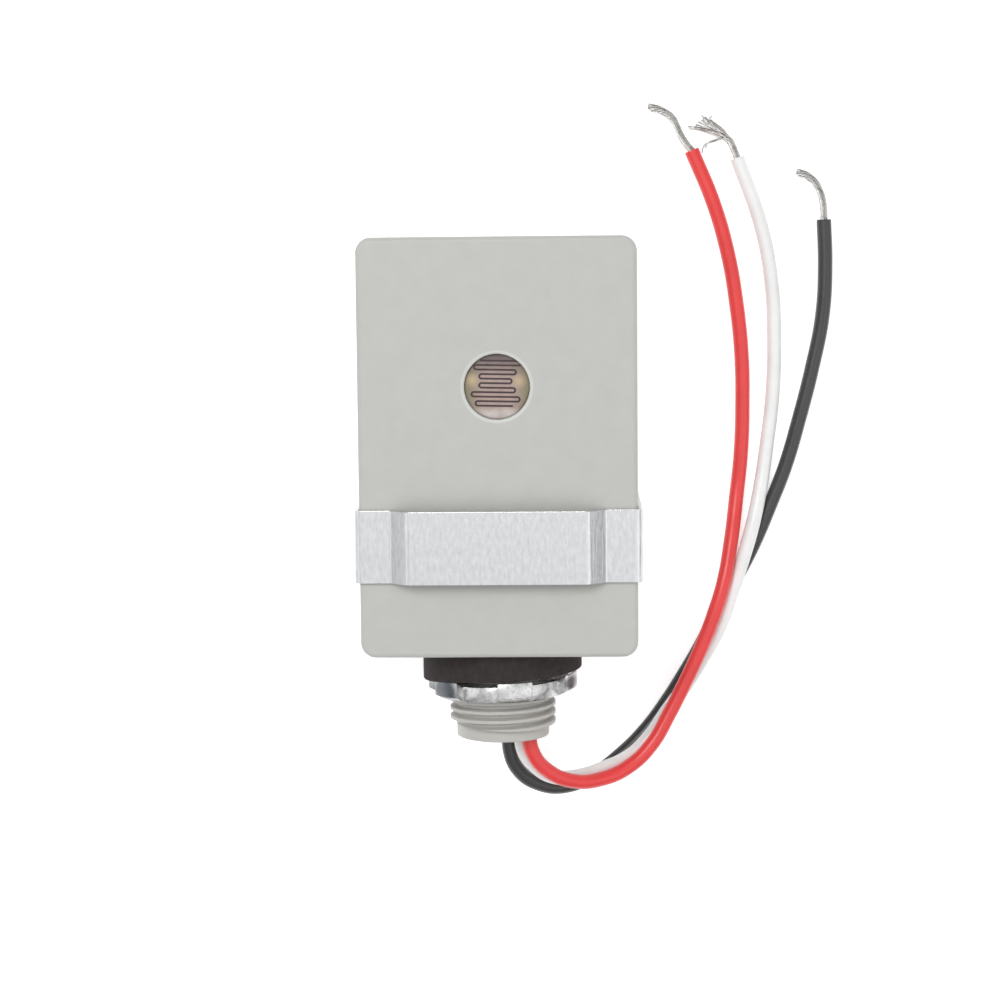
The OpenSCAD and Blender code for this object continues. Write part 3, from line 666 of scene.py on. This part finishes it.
@kept
def cell_film(name, settings):
    """Film of the light cell: pale in the middle and golden at its sides, with a painted glint below the
    line, a painted shadow of the window's lip over its top and painted shade round its rim, under a clear
    coat.
    """
    material, tree, shader = surface(name, {"Roughness": 0.45, **CLEAR_COAT})
    radius = (cell_high.x - cell_low.x) / 2
    place = add(tree, "ShaderNodeSeparateXYZ", {"Vector": own_place(tree)}).outputs
    across = sum_of(tree, "ABSOLUTE", place["X"])

    def zone(name, value, middle):
        return mapped(tree, value, *(middle + share * radius for share in FILM_ZONES[name]))

    sides = zone("sides", across, 0)
    upper = zone("upper", place["Y"], cell_centre.y)
    lower = zone("lower", place["Y"], cell_centre.y)
    drift = use_group(tree, "Tone drift", {"Colour": settings.film, "Scale": 700, "Amount": 0.12})
    tone = blended(tree, sides, drift["Colour"], settings.film_edge)
    for spot in (settings.left_spot, settings.right_spot):
        mask = ring_mask(tree, cell_centre + Vector(spot), -1, settings.spot_radius, settings.spot_radius)
        tone = blended(tree, mask, tone, settings.solder)
    # Painted glint: pale colour over the film below the line
    tone = blended(tree, sum_of(tree, "MULTIPLY", lower, drift["Mask"]), tone, settings.glint)
    # Painted shadow of the window's lip over the top of the film
    tone = darkened(tree, upper, tone, least=0.14)
    # Painted shade round the film's rim, in the gap to the window
    rim = ring_mask(tree, cell_centre, settings.rim, 1, settings.rim_soft)
    feed(tree, shader, {"Base Color": darkened(tree, rim, tone, least=0.3)})
    add_grain(tree, shader, scale=2500, depth=0.00001)
    return material


@kept
def cell_line(name, settings):
    """Dark line on the cell, under the same clear coat."""
    material, tree, shader = surface(name, {"Roughness": 0.4, **CLEAR_COAT})
    add_tone(tree, shader, settings.line, scale=900, amount=0.35)
    add_grain(tree, shader, scale=2500, depth=0.00001)
    return material


# Operators


class PHOTOCELL_OT_stage(bpy.types.Operator):
    """Sets up the camera, the pale floor and the soft lights"""

    bl_idname = "photocell.stage"
    bl_label = "Stage"

    # Setting of the power, place and diameter of each soft light
    lamps = {
        "key": ("key", (-0.15, 0.33, 0.76), 0.4),
        "fill": ("fill", (0.35, -0.3, 0.6), 0.7),
        "left": ("side", (-0.55, -0.05, 0.3), 0.45),
        "right": ("side", (0.55, -0.05, 0.35), 0.45),
    }

    # Heights in the sky between which its light rises
    low_sky = 0.45
    high_sky = 0.92

    def execute(self, context):
        settings = context.scene.photocell_stage
        self.camera(context, settings)
        self.floor(settings)
        self.lights(context, settings)
        return {"FINISHED"}

    def camera(self, context, settings):
        eye = Vector(settings.eye)
        ahead = (Vector(settings.target) - eye).normalized()
        right = ahead.cross(Vector((0, 1, 0))).normalized()
        up = right.cross(ahead)
        turned = Matrix.Rotation(settings.roll, 3, -ahead)
        axes = Matrix((turned @ right, turned @ up, -ahead)).transposed()
        bpy.ops.object.camera_add()
        camera = context.object
        camera.name = "view"
        camera.matrix_world = Matrix.Translation(eye) @ axes.to_4x4()
        camera.data.lens = settings.lens
        camera.data.sensor_width = 36
        camera.data.clip_start = 0.01
        context.scene.camera = camera
        context.scene.view_settings.view_transform = "Standard"

    def floor(self, settings):
        bpy.ops.mesh.primitive_plane_add(size=settings.floor_size)
        floor = bpy.context.object
        floor.name = "floor"
        material, tree, shader = surface(
            "floor", {"Roughness": 0.9, "Specular IOR Level": 0.1, "Emission Strength": settings.glow}
        )
        tones = add_tone(tree, shader, settings.floor, scale=3, amount=0.005)
        sheet = ring_mask(tree, (0, 0, 0), -1, settings.sheet_radius, settings.sheet_radius / 4)
        level = mapped(tree, sheet, 0.0, 1.0, settings.table)
        tint = lightened(tree, tones["Colour"], level)
        feed(tree, shader, {"Base Color": tint, "Emission Color": tint})
        floor.data.materials.append(material)

    def lights(self, context, settings):
        world = bpy.data.worlds.new("studio")
        world.use_nodes = True
        tree = world.node_tree
        sky = add(tree, "ShaderNodeTexCoord").outputs["Generated"]
        height = add(tree, "ShaderNodeSeparateXYZ", {"Vector": sky}).outputs["Z"]
        rise = mapped(tree, height, self.low_sky, self.high_sky, settings.horizon, settings.overhead)
        feed(tree, tree.nodes["Background"], {"Color": (1, 1, 1, 1), "Strength": rise})
        context.scene.world = world
        for name, (setting, place, size) in self.lamps.items():
            self.soft_light(name, place, size, getattr(settings, setting))

    def soft_light(self, name, place, size, power):
        bpy.ops.object.light_add(type="AREA", location=place)
        light = bpy.context.object
        light.name = name
        light.data.shape = "DISK"
        light.data.size = size
        light.data.energy = power
        light.rotation_euler = (-Vector(place)).to_track_quat("-Z", "Y").to_euler()


def smooth_path(points, steps):
    """Points of a smooth curve through the given ones."""
    points = [Vector(p) for p in points]
    ends = [2 * points[0] - points[1]] + points + [2 * points[-1] - points[-2]]
    path = []
    for a, b, c, d in zip(ends, ends[1:], ends[2:], ends[3:]):
        for i in range(steps):
            t = i / steps
            path.append(0.5 * (
                2 * b + (c - a) * t + (2 * a - 5 * b + 4 * c - d) * t * t + (3 * b - a - 3 * c + d) * t ** 3
            ))
    path.append(points[-1])
    return path


def add_spline(curve, points):
    """Adds one open smooth spline through the points."""
    spline = curve.splines.new("BEZIER")
    spline.bezier_points.add(len(points) - 1)
    for handle, point in zip(spline.bezier_points, points):
        handle.co = point
        handle.handle_left_type = handle.handle_right_type = "AUTO"


def new_curve(name, diameter, rings, sides):
    """Empty curve object that is drawn as a round tube."""
    curve = bpy.data.curves.new(name, "CURVE")
    curve.dimensions = "3D"
    curve.resolution_u = rings
    curve.bevel_depth = diameter / 2
    curve.bevel_resolution = sides
    curve.use_fill_caps = True
    piece = bpy.data.objects.new(name, curve)
    bpy.context.scene.collection.objects.link(piece)
    return piece


class PHOTOCELL_OT_strands(bpy.types.Operator):
    """Twists the stripped strands at the end of each lead"""

    bl_idname = "photocell.strands"
    bl_label = "Stripped strands"

    # Radius in strands and angle in degrees of each strand in a bundle
    places = [(0, 0)] + [(1, 60 * i) for i in range(6)] + [(1.93, 30 * i + 15) for i in range(12)]

    # Angles in radians between one strand and the next that make them spread and end unevenly
    stagger = 2.4
    uneven = 1.7

    # Share by which a bundle opens out at its end, and spread of the frayed ends in strands
    flare = 0.35
    fray_spread = 1.5

    def execute(self, context):
        settings = context.scene.photocell_leads
        for lead, route in LEAD_ROUTES.items():
            self.bundle(settings, lead, route)
        return {"FINISHED"}

    def bundle(self, settings, lead, route):
        end = Vector(route[-1])
        out = (end - Vector(route[-2])).normalized()
        middle = smooth_path([end - MM * out, end] + STRAND_BENDS[lead], steps=4)
        piece = new_curve(f"{lead}_strand_bundle", settings.strand, rings=2, sides=2)
        for index, (ring, turn) in enumerate(self.places):
            tip = self.frayed_tip(settings, index) if lead == "white" else None
            self.strand(piece.data, settings, middle, index, ring, math.radians(turn), tip)
        choose(piece)
        bpy.ops.object.convert(target="MESH")
        piece = bpy.context.object
        shade(piece, degrees=60)
        seat(piece, "housing", [f"{lead}_strands"], "tinned_copper", metal, settings.tin, **TINNED)

    def frayed_tip(self, settings, index):
        """End of a frayed strand, spread a little round one of the tips."""
        spread = self.fray_spread * settings.strand
        around = Vector((math.cos(self.stagger * index), math.sin(self.stagger * index), 0))
        return Vector(WHITE_TIPS[index % len(WHITE_TIPS)]) + spread * around

    def strand(self, curve, settings, middle, index, ring, turn, tip):
        points = []
        last = len(middle) - 1
        for i, point in enumerate(middle):
            along = i / last
            ahead = (middle[min(i + 1, last)] - middle[max(i - 1, 0)]).normalized()
            side = ahead.cross(Vector((0, 0, 1))).normalized()
            up = side.cross(ahead)
            angle = turn + math.tau * settings.turns * along
            open_out = 1 + self.flare * along ** 3 * math.sin(self.stagger * index)
            reach = ring * settings.strand * open_out
            place = point + reach * (math.cos(angle) * side + math.sin(angle) * up)
            if tip:
                loose = max(0, along - settings.fray) / (1 - settings.fray)
                place = place.lerp(tip, loose ** 1.5)
            place.z = max(place.z, settings.strand / 2)
            points.append(place)
        short = round((3 if tip else 1) * abs(math.sin(self.uneven * index)))
        add_spline(curve, points[:len(points) - short])


class PHOTOCELL_OT_leads(bpy.types.Operator):
    """Lays the three insulated leads along their routes"""

    bl_idname = "photocell.leads"
    bl_label = "Leads"

    def execute(self, context):
        settings = context.scene.photocell_leads
        for lead, route in LEAD_ROUTES.items():
            piece = new_curve(f"{lead}_insulation", settings.diameter, rings=8, sides=6)
            add_spline(piece.data, route)
            seat(
                piece, "housing", [f"{lead}_lead"], f"lead_{lead}", plastic, getattr(settings, lead),
                rough=0.34, drift=0.05, gloss=0.5, mottle=160, spread=0.06, grain=900, depth=0.00001,
            )
        return {"FINISHED"}


class PHOTOCELL_OT_case(bpy.types.Operator):
    """Finishes the case and its rear cover"""

    bl_idname = "photocell.case"
    bl_label = "Case"

    def execute(self, context):
        settings = context.scene.photocell_housing
        edge = settings.window_edge
        inner = settings.window / 2
        shell = merged_copy("case", "case_shell")
        moulded = seat(shell, "housing", ["case"], "case_plastic", plastic, settings.plastic, rough=0.5)
        # Painted highlight: a pale ring round the window's edge
        add_ring(moulded, settings.window_tone, cell_centre, inner, inner + edge, edge / 4)
        cover = merged_copy("rear_cover", "cover_plate")
        darker = [settings.cover_shade * part for part in settings.plastic[:3]] + [1]
        seat(cover, "housing", ["rear_cover"], "cover_plastic", plastic, darker, rough=0.55)
        return {"FINISHED"}


class PHOTOCELL_OT_shield(bpy.types.Operator):
    """Folds the light shield from one strip of sheet"""

    bl_idname = "photocell.shield"
    bl_label = "Light shield"

    def execute(self, context):
        settings = context.scene.photocell_metal
        half = settings.sheet / 2
        leg = shield_high.x - half
        flat = shield_high.z - half - settings.raise_height
        lip_height = shield_low.z + half
        lip_end = leg - half - settings.lip
        right = [
            (lip_end, lip_height), (leg, lip_height), (leg, flat),
            (settings.raised_width / 2 + settings.slant_width, flat),
            (settings.raised_width / 2, flat + settings.raise_height),
        ]
        outline = right + [(-x, z) for x, z in reversed(right)]
        piece = drawn("shield_sheet", [(x, shield_low.y, z) for x, z in outline])
        with editing(piece, "EDGE") as mesh:
            bpy.ops.mesh.select_all(action="SELECT")
            drop = (0, shield_high.y - shield_low.y, 0)
            bpy.ops.mesh.extrude_region_move(TRANSFORM_OT_translate={"value": drop})
            self.fold(piece, mesh, right[2:5], settings.bend + half)
            self.fold(piece, mesh, right[1:2], settings.lip_bend + half)
            bpy.ops.mesh.select_all(action="SELECT")
            bpy.ops.mesh.normals_make_consistent(inside=False)
        apply_modifier(piece, "SOLIDIFY", thickness=settings.sheet, offset=0, use_even_offset=True)
        bevel(piece, settings.burr, degrees=60)
        shade_flats(piece, degrees=40)
        seat(
            piece, "shield", ["light_shield"], "shield_aluminium", metal, settings.aluminium, rough=0.32,
            stretch=(1, 0.12, 1), drift=0.08, depth=0.00008, spread=0.03, mottle=1600, streak=(1, 0.4, 1),
        )
        return {"FINISHED"}

    def fold(self, piece, mesh, corners, radius):
        """Rounds the folds at the given corners, on both sides of the middle."""
        for x, z in corners:
            for side in (-1, 1):
                place = Vector((side * x, 0, z))
                mesh.edges.ensure_lookup_table()
                pick(piece, mesh.edges, lambda edge: is_fold(edge, place))
                turn = next(edge for edge in mesh.edges if edge.select).calc_face_angle()
                bpy.ops.mesh.bevel(offset=radius * math.tan(turn / 2), segments=6, affect="EDGES")


def is_fold(edge, place):
    """Whether an edge runs along the shield's height at a place."""
    middle = (edge.verts[0].co + edge.verts[1].co) / 2
    return edge.calc_length() > 5 * MM and math.hypot(middle.x - place.x, middle.z - place.z) < SLACK


class PHOTOCELL_OT_stem(bpy.types.Operator):
    """Turns the stem and gives it its right-hand thread"""

    bl_idname = "photocell.stem"
    bl_label = "Threaded stem"

    # Shares of the pitch that are flat, and the turn at which the thread starts
    crest = 0.3
    root = 0.2
    phase = -0.05

    # Drop between two rings of the thread, its slanted end and the length of its fading
    ring_step = 0.07 * MM
    run_out = 0.45 * MM
    run_in = 0.2 * MM

    # Gap from the nut to the thread, lengths past the thread's end, and rounded edges
    nut_gap = 0.5 * MM
    rings_past = 0.7 * MM
    pilot_past = 0.75 * MM
    pilot_edge = 0.35 * MM
    bore_edge = 0.3 * MM

    def execute(self, context):
        settings = context.scene.photocell_housing
        thread_end = stem_length - settings.pilot_length
        outer = settings.crest_diameter / 2
        neck = settings.neck_diameter / 2
        bore = settings.bore / 2
        pilot = settings.pilot_diameter / 2
        flange = stem_high.x
        inner_end = case_low.y - stem_high.y
        wall_inside = inner_end + settings.flange
        thread_start = case_low.y - nut_low.y + self.nut_gap
        rings = int((thread_end + self.rings_past - thread_start) / self.ring_step)
        thread = [(outer, thread_start + self.ring_step * i) for i in range(rings + 1)]
        profile = [
            (bore, inner_end), (flange, inner_end), (flange, wall_inside), (outer - MM, wall_inside),
            (neck, case_low.y - nut_high.y - MM), (neck, thread_start),
        ] + thread + [(pilot, thread_end + self.pilot_past)]
        profile += arc((pilot - self.pilot_edge, stem_length - self.pilot_edge), self.pilot_edge, 0, 90, 4)
        profile += arc((bore + self.bore_edge, stem_length - self.bore_edge), self.bore_edge, 90, 180, 3)
        piece = spun("stem_thread", profile, steps=144)
        for vert in piece.data.vertices:
            drop = stem_axis.y - vert.co.y
            if stem_radius(vert.co) > outer - SLACK and drop > thread_start - SLACK:
                radius = self.thread_radius(settings, stem_angle(vert.co), drop, thread_end, outer)
                vert.co = on_stem(radius, drop, stem_angle(vert.co))
        shade(piece, degrees=50)
        seat(piece, "housing", ["threaded_stem"], "stem_plastic", plastic, settings.stem_plastic, rough=0.42)
        return {"FINISHED"}

    def thread_radius(self, settings, angle, drop, thread_end, outer):
        """Radius of the thread at an angle and a drop, run out into the plain end."""
        turn = drop / settings.pitch + angle / math.tau - self.phase
        away = 2 * abs(turn - round(turn))
        climb = min(max((1 - self.root - away) / (1 - self.root - self.crest), 0), 1)
        climb = climb * climb * (3 - 2 * climb)
        end = thread_end + self.run_out * math.sin(angle)
        fade = min(max((end + self.run_in - drop) / (2 * self.run_in), 0), 1)
        low = settings.root_diameter / 2
        return low + (outer - low) * climb * fade


class PHOTOCELL_OT_gasket(bpy.types.Operator):
    """Spins the foam gasket and slants its lower face"""

    bl_idname = "photocell.gasket"
    bl_label = "Gasket"

    def execute(self, context):
        settings = context.scene.photocell_housing
        outer = gasket_high.x
        thick = gasket_high.y - gasket_low.y
        inner = settings.gasket_bore / 2
        edge = settings.gasket_edge
        rim = outer - settings.gasket_rim
        pressed = thick - settings.gasket_dish
        profile = [(inner, 0)]
        profile += arc((outer - edge, edge), edge, -90, 0, 6)
        profile += [(outer, thick / 2)]
        profile += arc((outer - edge, thick - edge), edge, 0, 90, 6)
        profile += [(rim + settings.gasket_dish / 10, thick), (rim, pressed), (inner, pressed)]
        piece = spun("gasket_ring", profile, steps=96)
        for vert in piece.data.vertices:
            drop = (stem_axis.y - vert.co.y) * self.level(settings, stem_angle(vert.co), thick) / thick
            if stem_radius(vert.co) < rim + SLACK:
                drop = min(drop, pressed)
            vert.co.y = stem_axis.y - drop
        shade(piece, degrees=40)
        seat(piece, "housing", ["gasket"], "gasket_rubber", foam, settings.rubber)
        return {"FINISHED"}

    def level(self, settings, angle, thick):
        """How far the rim reaches down at an angle: thin on the right, bulging on the left."""
        right = math.sin(angle)
        slant = settings.gasket_slant * (1 + right) / 2
        return thick + settings.gasket_dish / 2 - slant + settings.gasket_bulge * max(-right, 0) ** 3


class PHOTOCELL_OT_locknut(bpy.types.Operator):
    """Stamps the locknut and bends its lugs towards the gasket"""

    bl_idname = "photocell.locknut"
    bl_label = "Locknut"

    # Sides that the ring is drawn with
    sides = 120

    def execute(self, context):
        settings = context.scene.photocell_metal
        ring = settings.nut_ring / 2
        bore = settings.nut_bore / 2
        low = case_low.y - nut_low.y
        top = low - settings.nut_thickness
        bend = nut_high.y - nut_low.y - settings.nut_thickness
        profile = [(bore, top), (ring, top), (ring, low), (bore, low)]
        piece = spun("nut_ring", profile, self.sides, settings.lug_start)
        with editing(piece, "FACE") as mesh:
            pick(piece, mesh.faces, lambda face: self.is_lug(settings, face, ring))
            bpy.ops.mesh.extrude_region_move()
            grow = settings.lug_diameter / settings.nut_ring
            bpy.ops.transform.resize(value=(grow, 1, grow), center_override=stem_axis)
            bpy.ops.transform.translate(value=(0, bend, 0))
        bevel(piece, settings.nut_edge, degrees=35)
        turn_about(piece, on_stem(0, (top + low) / 2), settings.nut_tilt)
        shade(piece, degrees=40)
        zinc = seat(piece, "nut", ["locknut"], "plated_steel", metal, settings.zinc, **ZINC_PLATED)
        # Painted dark reflections on the left and right lugs
        dark_reflections = ((settings.left_stain, settings.left_reach), (settings.right_stain, settings.right_reach))
        for spot, reach in dark_reflections:
            add_ring(zinc, settings.stain, spot, -1, reach, reach / 3)
        return {"FINISHED"}

    def is_lug(self, settings, face, ring):
        """Whether a face of the ring's outside carries a lug."""
        middle = face.calc_center_median()
        if stem_radius(middle) < 0.99 * ring or abs(face.normal.y) > 0.5:
            return False
        share = math.tau / settings.lugs
        return (stem_angle(middle) - settings.lug_start) % share < settings.lug_angle


class PHOTOCELL_OT_cell(bpy.types.Operator):
    """Finishes the light cell, with its dark line slightly turned"""

    bl_idname = "photocell.cell"
    bl_label = "Light cell"

    def execute(self, context):
        settings = context.scene.photocell_cell
        film = merged_copy("cell_disc", "cell_face")
        seat(film, "housing", ["cell_disc"], "cell_film", cell_film, settings)
        line = merged_copy("cell_track", "cell_dark_line")
        turn_about(line, cell_centre, settings.tilt)
        seat(line, "housing", ["cell_track"], "cell_line", cell_line, settings)
        return {"FINISHED"}


class PHOTOCELL_OT_switch(bpy.types.Operator):
    """Gives the seal and the pieces inside the case their finishes"""

    bl_idname = "photocell.switch"
    bl_label = "Inner works"

    def execute(self, context):
        zinc = context.scene.photocell_metal.zinc
        tin = context.scene.photocell_leads.tin
        finishes = {
            "seal_resin": (plastic, (0.03, 0.03, 0.03, 1), {"rough": 0.35, "drift": 0.2}),
            "retainer_plastic": (plastic, (0.05, 0.05, 0.05, 1), {"rough": 0.5}),
            "board_laminate": (plastic, (0.25, 0.15, 0.07, 1), {"rough": 0.6, "drift": 0.12}),
            "heater_ceramic": (plastic, (0.66, 0.6, 0.48, 1), {"rough": 0.7, "drift": 0.06}),
            "strip_brass": (metal, (0.72, 0.53, 0.24, 1), {"rough": 0.32, "stretch": (1, 0.1, 1)}),
            "contact_metal": (metal, (0.8, 0.8, 0.79, 1), {"rough": 0.25}),
            "blade_metal": (metal, (0.46, 0.43, 0.39, 1), {"rough": 0.36, "stretch": (1, 0.1, 1)}),
            "tinned_copper": (metal, tin, TINNED),
            "plated_steel": (metal, zinc, ZINC_PLATED),
        }
        for part in frame["record"]["subparts"]:
            slot = part["material_slot"]
            if slot in finishes:
                make, tone, looks = finishes[slot]
                piece = frame["nodes"][part["node"]]
                piece.data.materials.clear()
                piece.data.materials.append(make(f"{slot}_finish", tone, **looks))
        return {"FINISHED"}


class PHOTOCELL_PT_panel(bpy.types.Panel):
    """Lists the steps that dress the switch"""

    bl_idname = "PHOTOCELL_PT_panel"
    bl_label = "Photocell switch"
    bl_space_type = "VIEW_3D"
    bl_region_type = "UI"
    bl_category = "Photocell"

    def draw(self, context):
        for step in STEPS:
            self.layout.operator(step.bl_idname)
        for name, group in SETTINGS.items():
            for prop in group.__annotations__:
                self.layout.prop(getattr(context.scene, name), prop)


STEPS = [
    PHOTOCELL_OT_stage,
    PHOTOCELL_OT_strands,
    PHOTOCELL_OT_leads,
    PHOTOCELL_OT_case,
    PHOTOCELL_OT_shield,
    PHOTOCELL_OT_stem,
    PHOTOCELL_OT_gasket,
    PHOTOCELL_OT_locknut,
    PHOTOCELL_OT_cell,
    PHOTOCELL_OT_switch,
]


def register():
    """Registers the settings, the steps and the panel."""
    for name, group in SETTINGS.items():
        bpy.utils.register_class(group)
        setattr(bpy.types.Scene, name, bpy.props.PointerProperty(type=group))
    for step in STEPS:
        bpy.utils.register_class(step)
    bpy.utils.register_class(PHOTOCELL_PT_panel)


def unregister():
    """Takes the panel, the steps and the settings away again."""
    bpy.utils.unregister_class(PHOTOCELL_PT_panel)
    for step in reversed(STEPS):
        bpy.utils.unregister_class(step)
    for name, group in SETTINGS.items():
        delattr(bpy.types.Scene, name)
        bpy.utils.unregister_class(group)


def main():
    """Runs every step in order."""
    register()
    bpy.ops.photocell.stage()
    bpy.ops.photocell.strands()
    bpy.ops.photocell.leads()
    bpy.ops.photocell.case()
    bpy.ops.photocell.shield()
    bpy.ops.photocell.stem()
    bpy.ops.photocell.gasket()
    bpy.ops.photocell.locknut()
    bpy.ops.photocell.cell()
    bpy.ops.photocell.switch()


if __name__ == "__main__":
    main()
